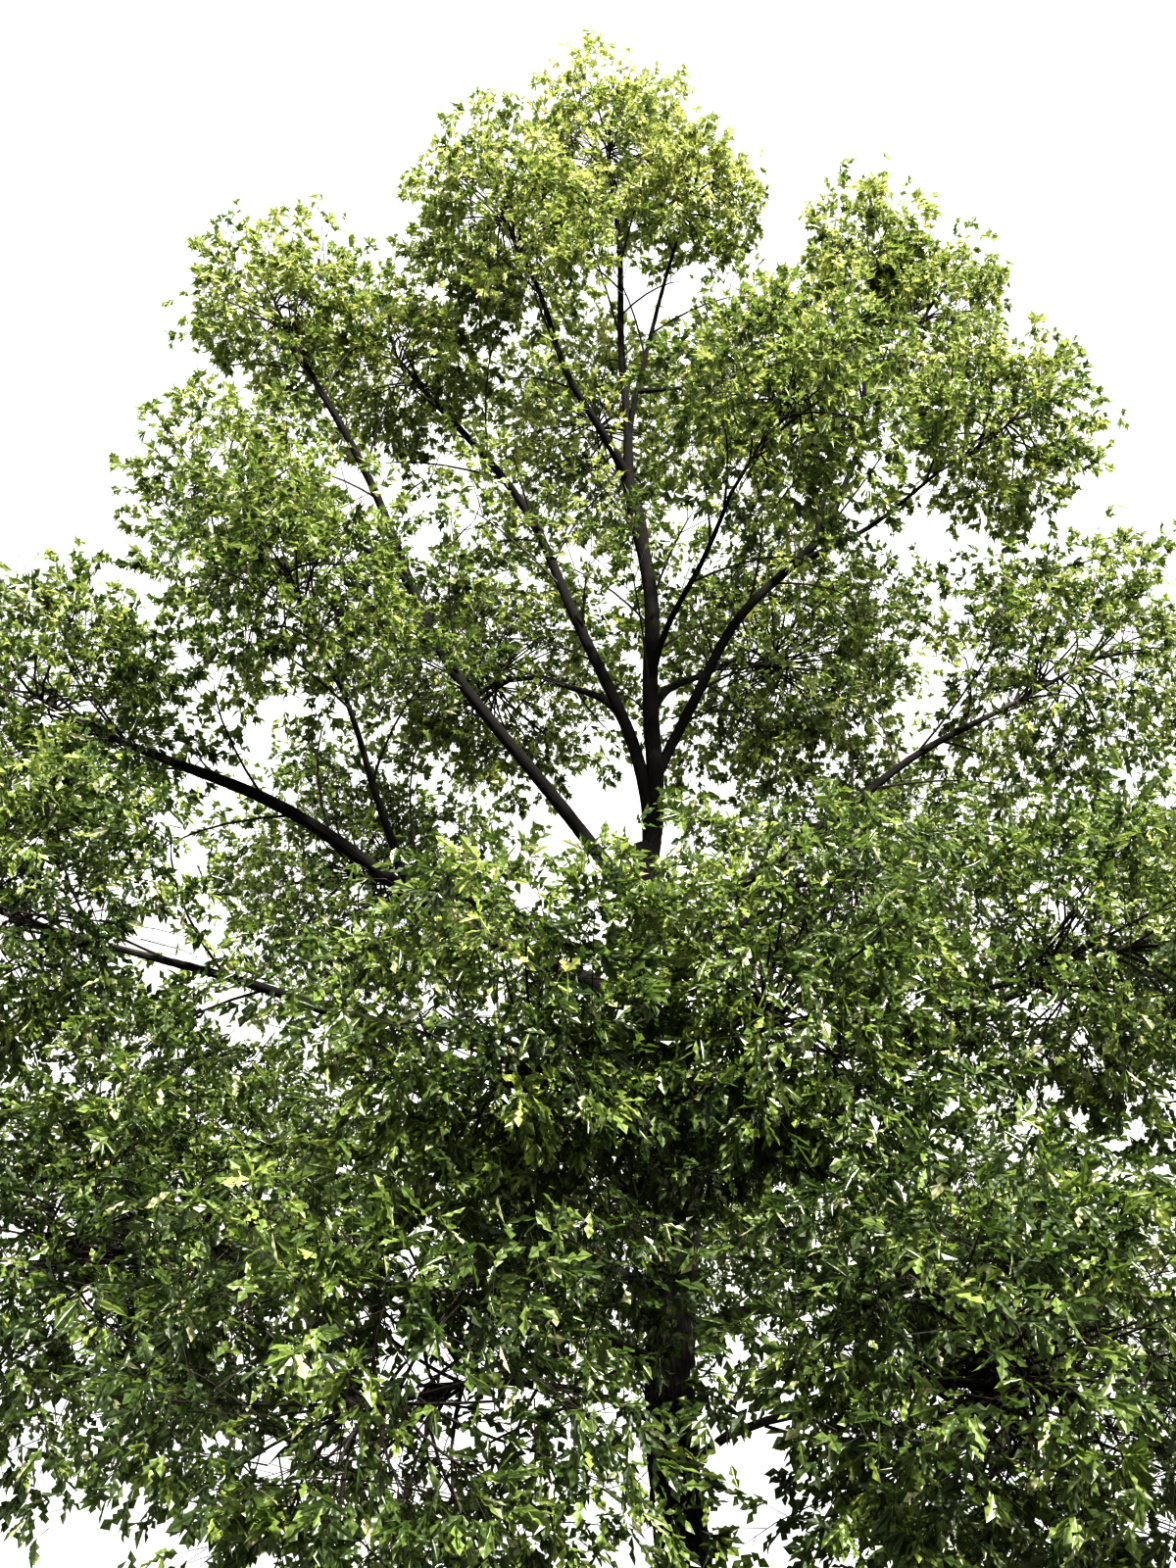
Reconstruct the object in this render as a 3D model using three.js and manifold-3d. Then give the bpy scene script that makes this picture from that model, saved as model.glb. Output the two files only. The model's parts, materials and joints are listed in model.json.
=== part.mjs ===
// A black oak in early summer leaf, rooted in level ground. Sizes are millimetres. X runs to the viewer's
// right, Y away from the viewer and Z up, from the middle of the trunk's flat cut at ground level.

import * as THREE from 'three';
import { mergeVertices } from 'three/addons/utils/BufferGeometryUtils.js';
import Module from 'manifold-3d';

const wasm = await Module();
wasm.setup();

// One metre, the gap that a seat keeps, and the width under which a sliver is smoothed away
const M = 1000;
const SEAT_GAP = 0.45;
const SLIVER = 2;

// The trunk, from the ground to the fork: its widths are at breast height and at the fork
const TRUNK = {
  name: 'trunk', width: 0.54, forkWidth: 0.36, bearing: 180, reach: 0.33, height: 9.6, bow: 0.08,
};
const TRUNK_RINGS = { sides: 12, steps: 9, spacing: 1.7, level: true };
const FLARE = { width: 0.26, height: 0.55, buttresses: 5, depth: 0.16 };

// Every limb is a straight run with a bow, a little wander and a collar where it leaves its parent
const BOW_SKEW = 0.75;
const WANDER = { share: 0.016, waves: 1.4 };
const COLLAR = { share: 0.28, length: 0.22 * M };
const LIMB_RINGS = { sides: 6, steps: 3 };
const MAIN_LIMB_RINGS = { sides: 7, steps: 6 };
const MAIN_LIMB_WIDTH = 0.155;
const TIP_SHARE = 0.5;
const FORK_SHARE = 0.78;
const LIMB_ENTERS = 0.62;
const STOP_STEP = 0.005;

// The limbs. Each leaves the limb named by on, at that share of its length, and heads for the middle of its
// foliage, or for its own tip where it bears none. Bearings are seen from above, with 0 to the viewer's
// right and 90 away from the viewer. Reach and height are metres from the trunk's foot. A bow lifts the
// middle of the limb, and width is its thickness at its foot. Spread and tall are half the size of its
// foliage.
const LIMBS = [
  { name: 'leader', on: 'trunk', at: 0.975, bearing: 180, reach: 0.45, height: 15.0, bow: 0.22, width: 0.2 },
  { name: 'left_stem', on: 'trunk', at: 0.965, bearing: 170, reach: 3.55, height: 17.4, bow: 0.7,
    width: 0.16, spread: 1.75, tall: 1.8 },
  { name: 'right_bough', on: 'leader', at: 0.04, bearing: 0, reach: 2.05, height: 14.1, bow: 0.5,
    width: 0.13 },
  { name: 'left_high_bough', on: 'trunk', at: 0.925, bearing: 186, reach: 5, height: 17.2, bow: -0.35,
    width: 0.16, spread: 1.5, tall: 1.6 },
  { name: 'left_shoulder_bough', on: 'left_high_bough', at: 0.52, bearing: 190, reach: 5.2, height: 13.9,
    bow: 0.25, width: 0.08, spread: 1.5, tall: 1.5 },
  { name: 'leader_left', on: 'leader', at: 0.975, bearing: 211, reach: 2.35, height: 18.1, bow: -0.1,
    width: 0.11, spread: 1.5, tall: 1.9 },
  { name: 'leader_middle', on: 'leader', at: 0.985, bearing: 170, reach: 0.65, height: 21, bow: 0.05,
    width: 0.115, spread: 1.45, tall: 2.1 },
  { name: 'leader_right', on: 'leader', at: 0.95, bearing: 305, reach: 0.8, height: 19.2, bow: 0.25,
    width: 0.08, spread: 1.05, tall: 1.85 },
  { name: 'leader_side', on: 'leader_right', at: 0.32, bearing: 20, reach: 1.5, height: 17.0, bow: 0,
    width: 0.06, spread: 1.4, tall: 1.6 },
  { name: 'leader_back', on: 'leader', at: 0.75, bearing: 108, reach: 2.6, height: 17.9, bow: 0.3,
    width: 0.09, spread: 2.0, tall: 2.1 },
  { name: 'leader_front', on: 'leader', at: 0.42, bearing: 295, reach: 2.8, height: 13.7, bow: 0.3,
    width: 0.08, spread: 1.7, tall: 1.5 },
  { name: 'right_upper', on: 'right_bough', at: 0.975, bearing: 0, reach: 2.95, height: 18.6, bow: -0.2,
    width: 0.08, spread: 1.1, tall: 1.95 },
  { name: 'right_outer', on: 'right_bough', at: 0.95, bearing: 4, reach: 3.7, height: 18, bow: 0.25,
    width: 0.08, spread: 1.3, tall: 1.9 },
  { name: 'right_side', on: 'right_bough', at: 0.86, bearing: 353, reach: 4.2, height: 15.2, bow: -0.1,
    width: 0.07, spread: 1.5, tall: 1.5 },
  { name: 'back_left_high', on: 'left_stem', at: 0.22, bearing: 127, reach: 3.9, height: 13.8, bow: 0.3,
    width: 0.1, spread: 2.6, tall: 2.4 },
  { name: 'back_right_high', on: 'leader', at: 0.35, bearing: 62, reach: 3.7, height: 14.2, bow: 0.3,
    width: 0.1, spread: 2.6, tall: 2.4 },
  { name: 'right_middle', on: 'trunk', at: 0.87, bearing: 6, reach: 4.9, height: 12.3, bow: 0.2,
    width: 0.14, spread: 2.2, tall: 1.95 },
  { name: 'back_left_middle', on: 'trunk', at: 0.83, bearing: 134, reach: 5.6, height: 11.2, bow: 0.2,
    width: 0.15, spread: 2.8, tall: 2.3 },
  { name: 'back_right_middle', on: 'trunk', at: 0.85, bearing: 58, reach: 5.3, height: 11.5, bow: 0.2,
    width: 0.14, spread: 2.8, tall: 2.3 },
  { name: 'left_broad_bough', on: 'trunk', at: 0.79, bearing: 192, reach: 6.7, height: 10.6, bow: 0.1,
    width: 0.21, spread: 2.1, tall: 1.65 },
  { name: 'left_inner', on: 'left_broad_bough', at: 0.42, bearing: 206, reach: 4.5, height: 11.7, bow: 0.1,
    width: 0.1, spread: 1.9, tall: 1.6 },
  { name: 'right_front', on: 'trunk', at: 0.68, bearing: 320, reach: 4.5, height: 7.1, bow: 0.15,
    width: 0.12, spread: 2.2, tall: 1.75 },
  { name: 'left_low_bough', on: 'trunk', at: 0.66, bearing: 202, reach: 6.7, height: 7.7, bow: 0.1,
    width: 0.15, spread: 2.2, tall: 1.8 },
  { name: 'right_low', on: 'trunk', at: 0.62, bearing: 354, reach: 6.0, height: 8.7, bow: 0.2,
    width: 0.15, spread: 2.4, tall: 1.95 },
  { name: 'back_low', on: 'trunk', at: 0.59, bearing: 94, reach: 5.9, height: 7.2, bow: 0.2,
    width: 0.15, spread: 2.8, tall: 3.2 },
  { name: 'front_right', on: 'trunk', at: 0.57, bearing: 276, reach: 4, height: 6.1, bow: 0.2,
    width: 0.11, spread: 2.2, tall: 1.9 },
  { name: 'front_left', on: 'trunk', at: 0.53, bearing: 252, reach: 4.8, height: 5.6, bow: 0.2,
    width: 0.11, spread: 2.2, tall: 1.7 },
  { name: 'back_left_low', on: 'trunk', at: 0.49, bearing: 153, reach: 6.0, height: 6.9, bow: 0.25,
    width: 0.14, spread: 2.7, tall: 2.2 },
  { name: 'back_right_low', on: 'trunk', at: 0.45, bearing: 48, reach: 5.9, height: 6.0, bow: 0.25,
    width: 0.13, spread: 2.7, tall: 2.2 },
];

// The lowest foliage grows on long thin stems of its own, straight from the trunk
const LOW_STEMS = [
  { name: 'low_left', on: 'trunk', at: 0.44, bearing: 204, reach: 5.6, height: 4.7, bow: 0.25,
    width: 0.09, spread: 2.4, tall: 2.1 },
  { name: 'skirt_left', on: 'trunk', at: 0.38, bearing: 244, reach: 5.2, height: 3.2, bow: 0.25,
    width: 0.08, spread: 2.6, tall: 1.75 },
  { name: 'skirt_right', on: 'trunk', at: 0.34, bearing: 292, reach: 5.1, height: 3.3, bow: 0.25,
    width: 0.09, spread: 2.6, tall: 1.85 },
];

// Each mass of foliage: twigs spread evenly round its stem, and every twig bears three leaves, each of which
// stands for a whole spray. Shares are of the stem's or the twig's length, or of the mass's own reach.
const SPACE_GAP = 0.06 * M;
const STEM = { sinks: 3, goesOn: 0.2, tipWidth: 0.03, steps: 3, lowSteps: 5 };
const LOW_TWIGS_FROM = 0.6;
const TWIG = {
  count: 6, from: 0.25, to: 0.97, stride: 0.618, reach: 0.6, width: 0.028, bend: 0.4, sweep: 0.15,
};
const SPRAY = { fan: 0.85, tip: 0.985, least: 1.08, most: 2.4, wide: 0.74, thick: 0.035, widest: 0.56 };
const TWIG_RINGS = { sides: 3, steps: 1 };
const SPRAY_SEATS = [0.96, 0.8, 0.64];
const SPRAY_TILTS = [0, 0.5, -0.5, 1];
const SPRAY_APART = 0.004 * M;
const LIMB_CLEARANCE = 0.03 * M;
const TRIES = [1, 0.86, 0.72];
const FIRST_SEED = 20;
const GOLDEN_ANGLE = Math.PI * (3 - Math.sqrt(5));

// Colours: grey-brown bark, and leaves from deep green low down to yellow-green in the light at the top
const BARK = new THREE.Color(0x4a4138);
const LOW_LEAF = new THREE.Color(0x3f5a1c);
const TOP_LEAF = new THREE.Color(0x86a532);
const TOP_OF_CROWN = 23.4 * M;
const BARK_ROUGHNESS = 0.95;
const LEAF_ROUGHNESS = 0.6;

const UP = new THREE.Vector3(0, 0, 1);
const AXES = [new THREE.Vector3(1, 0, 0), new THREE.Vector3(0, 1, 0), UP];

// A seeded row of even draws from 0 to 1, the same on every machine
function seededDraws(seed) {
  const range = 4294967296;
  let state = seed;
  return () => {
    state = (state * 1664525 + 1013904223) % range;
    return state / range;
  };
}

function placeFrom(bearing, reach, height) {
  const turn = THREE.MathUtils.degToRad(bearing);
  return new THREE.Vector3(Math.cos(turn) * reach, Math.sin(turn) * reach, height).multiplyScalar(M);
}

// The line that a limb follows, and cut is the share of it that the limb itself takes
class LimbRoute extends THREE.Curve {
  constructor(start, end, bow, draw) {
    super();
    this.start = start;
    this.run = end.clone().sub(start);
    this.bow = bow;
    this.cut = 1;
    const along = this.run.clone().normalize();
    this.lift = UP.clone().addScaledVector(along, -UP.dot(along)).normalize();
    this.side = along.clone().cross(this.lift);
    this.phases = [draw(), draw()];
  }

  getPoint(share, target = new THREE.Vector3()) {
    const t = share * this.cut;
    const swell = Math.sin(Math.PI * t);
    const amount = WANDER.share * this.run.length() * swell;
    const [lifted, sideways] = this.phases.map(
      (phase) => amount * Math.sin(2 * Math.PI * (WANDER.waves * t + phase)));
    const bow = this.bow * Math.sin(Math.PI * t ** BOW_SKEW);
    return target.copy(this.start)
      .addScaledVector(this.run, t)
      .addScaledVector(this.lift, bow + lifted)
      .addScaledVector(this.side, sideways);
  }
}

// The axis that lies most nearly square to a curve, so that its rings never twist
function steadySide(curve) {
  const chord = curve.getPoint(1).sub(curve.getPoint(0));
  return AXES.reduce((best, axis) => (Math.abs(axis.dot(chord)) < Math.abs(best.dot(chord)) ? axis : best));
}

// A closed tapered tube along a curve: a cylinder whose rings are moved onto it, square to it or level
function tubeGeometry(curve, halfWidth, rings, reference = steadySide(curve)) {
  const { sides, steps, spacing = 1, level = false } = rings;
  const geometry = bare(new THREE.CylinderGeometry(1, 1, 1, sides, steps));
  const corners = geometry.attributes.position;
  const corner = new THREE.Vector3();
  for (let i = 0; i < corners.count; i += 1) {
    corner.fromBufferAttribute(corners, i);
    const share = (corner.y + 0.5) ** spacing;
    const along = level ? UP : curve.getTangent(share);
    const across = reference.clone().addScaledVector(along, -reference.dot(along)).normalize();
    const third = across.clone().cross(along);
    const out = halfWidth(share, Math.atan2(corner.z, corner.x));
    const place = curve.getPoint(share)
      .addScaledVector(across, corner.x * out)
      .addScaledVector(third, corner.z * out);
    corners.setXYZ(i, place.x, place.y, place.z);
  }
  return geometry;
}

// A point on the straight runs between the rings of a tube
function onTube(curve, steps, share) {
  const run = Math.min(Math.floor(share * steps), steps - 1);
  return curve.getPoint(run / steps).lerp(curve.getPoint((run + 1) / steps), share * steps - run);
}

// Leaves only the places of a geometry's corners, each corner once
function bare(geometry) {
  geometry.deleteAttribute('normal');
  geometry.deleteAttribute('uv');
  return mergeVertices(geometry);
}

function toSolid(geometry) {
  return new wasm.Manifold(new wasm.Mesh({
    numProp: 3,
    vertProperties: Float32Array.from(geometry.attributes.position.array),
    triVerts: Uint32Array.from(geometry.index.array),
  }));
}

// The one main body of a solid, without scraps, and with any hollow that was sealed in it filled
function mainBody(solid) {
  return solid.decompose().reduce((best, body) => (body.volume() > best.volume() ? body : best));
}

function toMesh(name, solid, origin, color, roughness) {
  const { vertProperties, triVerts } = solid.translate([-origin.x, -origin.y, -origin.z]).getMesh();
  const geometry = new THREE.BufferGeometry();
  geometry.setAttribute('position', new THREE.BufferAttribute(vertProperties, 3));
  geometry.setIndex(new THREE.BufferAttribute(triVerts, 1));
  geometry.computeVertexNormals();
  const mesh = new THREE.Mesh(geometry, new THREE.MeshStandardMaterial({ color, roughness, metalness: 0 }));
  mesh.name = name;
  mesh.position.copy(origin);
  return mesh;
}

// The trunk's half width, with its root flare and the buttresses in it
function trunkHalfWidth(share, angle) {
  const height = share * TRUNK.height;
  const taper = THREE.MathUtils.lerp(TRUNK.width, TRUNK.forkWidth, share);
  const flare = Math.exp(-height / FLARE.height);
  const buttress = 1 + FLARE.depth * flare * Math.cos(FLARE.buttresses * angle);
  return (taper + FLARE.width * flare) * buttress * M / 2;
}

// A limb's half width: an even taper from its foot, less where it ends in a fork, with a collar at its foot
function limbHalfWidth(limb, share) {
  const foot = limb.width * M / 2;
  const collar = 1 + COLLAR.share * Math.exp(-share * limb.length / COLLAR.length);
  return THREE.MathUtils.lerp(foot, foot * (limb.spread ? TIP_SHARE : FORK_SHARE), share) * collar;
}

// A limb's route, and where it stops on entering its foliage
function planLimb(row, parent, seed) {
  const start = parent ? parent.route.getPoint(row.at) : new THREE.Vector3();
  const middle = placeFrom(row.bearing, row.reach, row.height);
  const route = new LimbRoute(start, middle, row.bow * M, seededDraws(seed));
  const enters = LIMB_ENTERS * (row.spread ?? 0) * M;
  let stop = 1;
  while (route.getPoint(stop).distanceTo(middle) < enters) stop -= STOP_STEP;
  return { ...row, route, middle, stop, length: start.distanceTo(middle) };
}

// A limb's own solid, or the same solid grown a little, which cuts the seat for what it carries
function limbSolid(limb, growth = 0) {
  const isTrunk = limb.name === TRUNK.name;
  const boughRings = limb.width > MAIN_LIMB_WIDTH || !limb.spread ? MAIN_LIMB_RINGS : LIMB_RINGS;
  const halfWidth = isTrunk ? trunkHalfWidth : (share) => limbHalfWidth(limb, share);
  limb.route.cut = limb.stop + growth / limb.length;
  const grown = (share, angle) => halfWidth(share, angle) + growth;
  const tube = tubeGeometry(limb.route, grown, isTrunk ? TRUNK_RINGS : boughRings);
  limb.route.cut = 1;
  return toSolid(tube);
}

// The space that a mass keeps to: its own ellipsoid, as far as the planes that part it from its neighbours
function planSpace(limb, bearers) {
  const size = new THREE.Vector3(limb.spread, limb.spread, limb.tall).multiplyScalar(M);
  const walls = bearers.filter((other) => other !== limb).map((other) => {
    const normal = other.middle.clone().sub(limb.middle);
    const apart = normal.length();
    normal.divideScalar(apart);
    const pull = (limb.spread * limb.tall - other.spread * other.tall) * M * M;
    return { normal, limit: (apart * apart + pull) / (2 * apart) - SPACE_GAP / 2 };
  });
  const holds = (point) => {
    const from = point.clone().sub(limb.middle);
    return from.clone().divide(size).length() <= 1
      && walls.every(({ normal, limit }) => normal.dot(from) <= limit);
  };
  const edge = (direction, share) => {
    const ahead = walls.filter(({ normal }) => normal.dot(direction) > 0);
    const exits = ahead.map(({ normal, limit }) => limit / normal.dot(direction));
    const exit = Math.min(1 / direction.clone().divide(size).length(), ...exits);
    return limb.middle.clone().addScaledVector(direction, share * exit);
  };
  return { holds, edge };
}

// Directions spread evenly over a ball, turned by a draw
function evenDirections(count, turn) {
  return Array.from({ length: count }, (_, i) => {
    const z = 1 - (2 * i + 1) / count;
    const ring = Math.sqrt(1 - z * z);
    const angle = i * GOLDEN_ANGLE + turn;
    return new THREE.Vector3(Math.cos(angle) * ring, Math.sin(angle) * ring, z);
  });
}

// Two directions square to a first one
function squareTo(direction) {
  const first = direction.clone().cross(Math.abs(direction.z) < 0.9 ? UP : AXES[0]).normalize();
  return [first, direction.clone().cross(first)];
}

function touchesAny(solid, obstacles, clearance) {
  return obstacles.some((obstacle) => solid.minGap(obstacle, clearance) < clearance);
}

// A leaf that stands for a spray: a kite, widest near its middle, with its root behind its twig
function spraySolid(root, tip, across) {
  const along = tip.clone().sub(root);
  const length = along.length();
  along.divideScalar(length);
  const through = along.clone().cross(across);
  const geometry = bare(new THREE.OctahedronGeometry(1));
  const corners = geometry.attributes.position;
  const corner = new THREE.Vector3();
  for (let i = 0; i < corners.count; i += 1) {
    corner.fromBufferAttribute(corners, i);
    const run = corner.x === 0 ? SPRAY.widest : (corner.x + 1) / 2;
    const place = root.clone()
      .addScaledVector(along, run * length)
      .addScaledVector(across, corner.y * SPRAY.wide * length / 2)
      .addScaledVector(through, corner.z * SPRAY.thick * length / 2);
    corners.setXYZ(i, place.x, place.y, place.z);
  }
  return { solid: toSolid(geometry), corners: Array.from({ length: corners.count }, (_, i) =>
    new THREE.Vector3().fromBufferAttribute(corners, i)) };
}

function stemSteps(limb) {
  return limb.low ? STEM.lowSteps : STEM.steps;
}

// The stem that carries a mass: on from the bough's tip, or out from the trunk, and a little past the middle
function planStem(limb) {
  const onward = limb.route.getTangent(1).multiplyScalar(STEM.goesOn * limb.spread * M);
  const first = limb.low ? 0 : limb.stop;
  const count = stemSteps(limb);
  const points = Array.from({ length: count }, (_, i) =>
    limb.route.getPoint(THREE.MathUtils.lerp(first, 1, i / (count - 1))));
  if (!limb.low) points[0].addScaledVector(limb.route.getTangent(first), -STEM.sinks);
  points.push(limb.middle.clone().add(onward));
  return new THREE.CatmullRomCurve3(points, false, 'centripetal');
}

// The twigs of a mass, spread evenly round it, each bent out from its stem and kept in the mass's own space
function planTwigs(limb, stem, space, draw) {
  const directions = evenDirections(TWIG.count, 2 * Math.PI * draw());
  const firstShare = limb.low ? LOW_TWIGS_FROM : TWIG.from;
  return directions.map((direction, i) => {
    const share = THREE.MathUtils.lerp(firstShare, TWIG.to, (i * TWIG.stride) % 1);
    const start = onTube(stem, stemSteps(limb), share);
    const bend = stem.getTangent(share).multiplyScalar(TWIG.sweep * limb.spread * M);
    const end = space.edge(direction, TWIG.reach);
    const control = start.clone().lerp(end, TWIG.bend).add(bend);
    const fan = squareTo(direction)[0].applyAxisAngle(direction, 2 * Math.PI * draw());
    return { direction, fan, curve: new THREE.QuadraticBezierCurve3(start, control, end) };
  });
}

// The places of a twig's leaves: fanned out round its direction, each with its tip on the space's outside
function planSprays(twig, space) {
  return SPRAY_SEATS.map((seat, i) => {
    const turned = twig.fan.clone().applyAxisAngle(twig.direction, 2 * Math.PI * i / SPRAY_SEATS.length);
    const heading = twig.direction.clone().addScaledVector(turned, SPRAY.fan).normalize();
    const onTwig = onTube(twig.curve, TWIG_RINGS.steps, seat);
    return { heading, seat: onTwig, tip: space.edge(heading, SPRAY.tip) };
  });
}

// The widest form of a leaf that keeps to the space and clear of the limbs, or nothing
function fitSpray({ heading, seat, tip }, space, obstacles, leaves) {
  for (const shrink of TRIES) {
    const reach = tip.clone().sub(seat).multiplyScalar(shrink).clampLength(0, SPRAY.most * M);
    if (reach.length() < SPRAY.least * M) return null;
    const along = reach.clone().normalize();
    const flat = along.clone().cross(heading).normalize();
    const edgeOn = flat.clone().cross(along);
    for (const tilt of SPRAY_TILTS) {
      const across = flat.clone().multiplyScalar(Math.cos(tilt)).addScaledVector(edgeOn, Math.sin(tilt));
      const { solid, corners } = spraySolid(seat, seat.clone().add(reach), across);
      if (corners.every(space.holds) && !touchesAny(solid, leaves, SPRAY_APART)
        && !touchesAny(solid, obstacles, LIMB_CLEARANCE)) return solid;
    }
  }
  return null;
}

// One mass of foliage as one solid: its stem, its twigs and its leaves, cut to its seat on what carries it
function foliageSolid(limb, space, obstacles, carrier) {
  const draw = seededDraws(limb.seed);
  const solids = [limb.stemSolid];
  const leaves = [];
  for (const twig of planTwigs(limb, limb.stem, space, draw)) {
    const flatSide = twig.fan.clone().cross(twig.direction);
    const tube = toSolid(tubeGeometry(twig.curve, () => TWIG.width * M / 2, TWIG_RINGS, flatSide));
    if (touchesAny(tube, obstacles, LIMB_CLEARANCE)) continue;
    solids.push(tube);
    for (const spray of planSprays(twig, space)) {
      const leaf = fitSpray(spray, space, obstacles, leaves);
      if (leaf) leaves.push(leaf);
    }
  }
  return mainBody(wasm.Manifold.union([...solids, ...leaves]).simplify(SLIVER).subtract(carrier));
}

function stemSolidOf(limb) {
  const footWidth = limb.low ? limb.width : limb.width * TIP_SHARE;
  const halfWidth = (share) => THREE.MathUtils.lerp(footWidth, STEM.tipWidth, share) * M / 2;
  return toSolid(tubeGeometry(limb.stem, halfWidth, { sides: TWIG_RINGS.sides, steps: stemSteps(limb) }));
}

function leafColour(height) {
  return LOW_LEAF.clone().lerp(TOP_LEAF, THREE.MathUtils.clamp(height / TOP_OF_CROWN, 0, 1));
}

// The plan of every limb comes first, then the limbs' solids, and the foliage keeps clear of them all
function buildTree() {
  const plans = new Map([[TRUNK.name, planLimb(TRUNK, null, FIRST_SEED)]]);
  [...LIMBS, ...LOW_STEMS.map((row) => ({ ...row, low: true }))].forEach((row, i) => {
    const limb = planLimb(row, plans.get(row.on), FIRST_SEED + i + 1);
    plans.set(row.name, { ...limb, seed: 100 * (FIRST_SEED + i) });
  });
  const bearers = [...plans.values()].filter((limb) => limb.spread);
  const tree = new THREE.Group();
  const limbs = new THREE.Group();
  const foliage = new THREE.Group();
  tree.add(limbs, foliage);

  const wood = [];
  const grown = new Map();
  for (const limb of [...plans.values()].filter(({ low }) => !low)) {
    const cut = [...grown.values()].reduce((left, other) => left.subtract(other), limbSolid(limb));
    const solid = mainBody(cut);
    wood.push(solid);
    grown.set(limb.name, limbSolid(limb, SEAT_GAP));
    limbs.add(toMesh(limb.name, solid, limb.route.start, BARK, BARK_ROUGHNESS));
  }

  for (const limb of bearers) {
    limb.stem = planStem(limb);
    limb.stemSolid = stemSolidOf(limb);
  }
  const lowStems = bearers.filter((limb) => limb.low);
  for (const limb of bearers) {
    const others = lowStems.filter((other) => other !== limb).map((other) => other.stemSolid);
    const obstacles = [...wood, ...others];
    const carrier = grown.get(limb.low ? limb.on : limb.name);
    const solid = foliageSolid(limb, planSpace(limb, bearers), obstacles, carrier);
    const colour = leafColour(limb.middle.z);
    foliage.add(toMesh(`${limb.name}_foliage`, solid, limb.middle, colour, LEAF_ROUGHNESS));
  }
  return tree;
}

export default buildTree();
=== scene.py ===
"""A black oak in early summer leaf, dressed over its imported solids: furrowed bark on the trunk and
boughs, twigs that branch on from them by one seeded rule, and lobed leaves in sprays. Metres, with
+Z up, as the solids are."""

import json
import math

import bpy
import numpy as np
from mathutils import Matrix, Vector, kdtree, noise

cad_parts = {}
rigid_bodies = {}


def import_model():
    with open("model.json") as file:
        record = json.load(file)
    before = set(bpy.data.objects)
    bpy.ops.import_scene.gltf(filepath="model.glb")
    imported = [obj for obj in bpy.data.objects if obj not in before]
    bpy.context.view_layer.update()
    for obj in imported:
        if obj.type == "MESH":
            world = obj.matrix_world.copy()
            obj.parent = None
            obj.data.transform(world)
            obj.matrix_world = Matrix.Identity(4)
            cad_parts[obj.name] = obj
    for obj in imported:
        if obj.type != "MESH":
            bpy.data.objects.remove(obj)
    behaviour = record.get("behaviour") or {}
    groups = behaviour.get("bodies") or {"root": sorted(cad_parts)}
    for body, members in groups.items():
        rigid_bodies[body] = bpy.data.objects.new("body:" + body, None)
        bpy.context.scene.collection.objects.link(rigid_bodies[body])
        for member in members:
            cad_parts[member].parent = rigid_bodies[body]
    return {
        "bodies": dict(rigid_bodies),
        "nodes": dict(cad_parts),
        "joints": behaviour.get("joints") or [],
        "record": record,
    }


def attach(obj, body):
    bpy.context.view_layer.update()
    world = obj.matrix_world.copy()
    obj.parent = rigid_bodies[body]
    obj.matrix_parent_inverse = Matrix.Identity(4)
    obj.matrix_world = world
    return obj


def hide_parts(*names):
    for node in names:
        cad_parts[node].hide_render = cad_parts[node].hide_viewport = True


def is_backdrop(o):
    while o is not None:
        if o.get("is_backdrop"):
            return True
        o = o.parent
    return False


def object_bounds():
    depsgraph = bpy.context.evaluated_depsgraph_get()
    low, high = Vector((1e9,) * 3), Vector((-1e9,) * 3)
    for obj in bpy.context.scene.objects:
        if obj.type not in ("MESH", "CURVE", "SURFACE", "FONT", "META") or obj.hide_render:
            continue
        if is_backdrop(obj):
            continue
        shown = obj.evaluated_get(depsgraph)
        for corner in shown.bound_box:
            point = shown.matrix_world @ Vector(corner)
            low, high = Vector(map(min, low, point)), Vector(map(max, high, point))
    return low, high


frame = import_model()
CAD_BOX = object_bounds()

# The trunk, from the ground to the fork, and the flare of its foot
TRUNK = dict(name="trunk", width=0.54, fork_width=0.36, bearing=180, reach=0.33, height=9.6, bow=0.08)
FLARE = dict(width=0.26, height=0.55, buttresses=5, depth=0.16)

# Every limb is a straight run with a bow, a little wander and a collar where it leaves its parent
BOW_SKEW = 0.75
WANDER = dict(share=0.016, waves=1.4)
COLLAR = dict(share=0.28, length=0.22)
TIP_SHARE = 0.5
FORK_SHARE = 0.78
LIMB_ENTERS = 0.62
STOP_STEP = 0.005

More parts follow.
